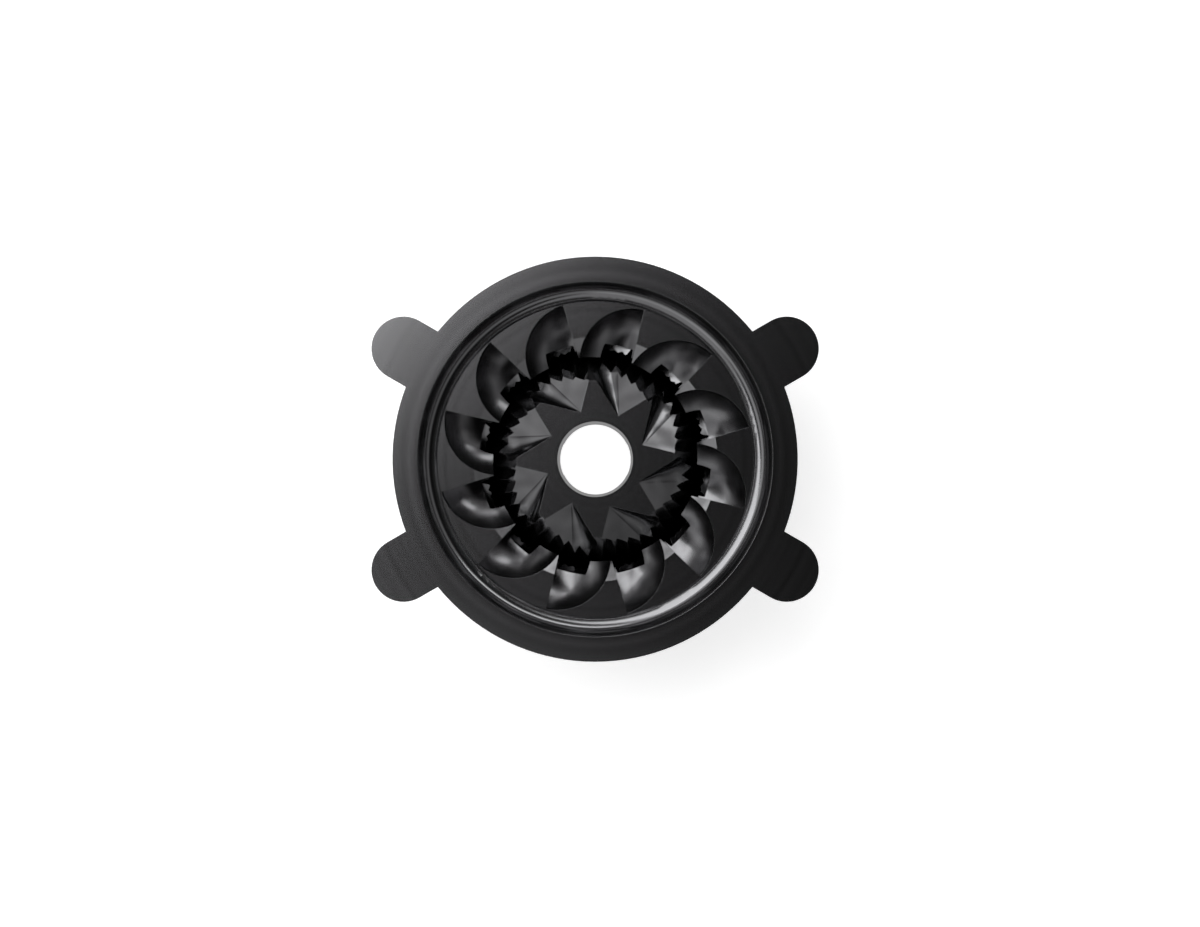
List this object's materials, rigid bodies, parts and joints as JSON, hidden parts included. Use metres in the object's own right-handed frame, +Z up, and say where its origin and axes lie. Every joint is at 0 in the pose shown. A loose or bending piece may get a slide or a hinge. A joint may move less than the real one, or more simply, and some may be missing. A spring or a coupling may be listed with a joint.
{
  "type": "conical coffee grinder burr set",
  "caption": "Conical burr set for a coffee grinder: a fluted cone burr turns inside a pocketed ring burr held in a flanged carrier with locating ears.",
  "frame": {"origin": "on the drive axis, in the plane that the ring burr and the cone burr stand on", "axes": "+Z up along the drive axis towards the bean mouth, +X between two of the ears, along the longer side of the carrier's outline"},
  "size_m": [0.053, 0.048, 0.0255],
  "materials": {
    "carrier_steel": "fine-turned steel with a black vapour-deposited coating, satin",
    "ring_steel": "hardened tool steel with a black vapour-deposited coating, semi-gloss",
    "cone_steel": "hardened tool steel with a black vapour-deposited coating, semi-gloss"
  },
  "bodies": {
    "carrier": {"burr_carrier": "carrier_steel", "ring_burr": "ring_steel"},
    "cone": {"cone_burr": "cone_steel"}
  },
  "joints": [
    {"name": "cone_spin", "type": "hinge", "parent": "carrier", "child": "cone", "pos_m": [0, 0, 0], "axis": [0, 0, 1], "continuous": true}
  ]
}
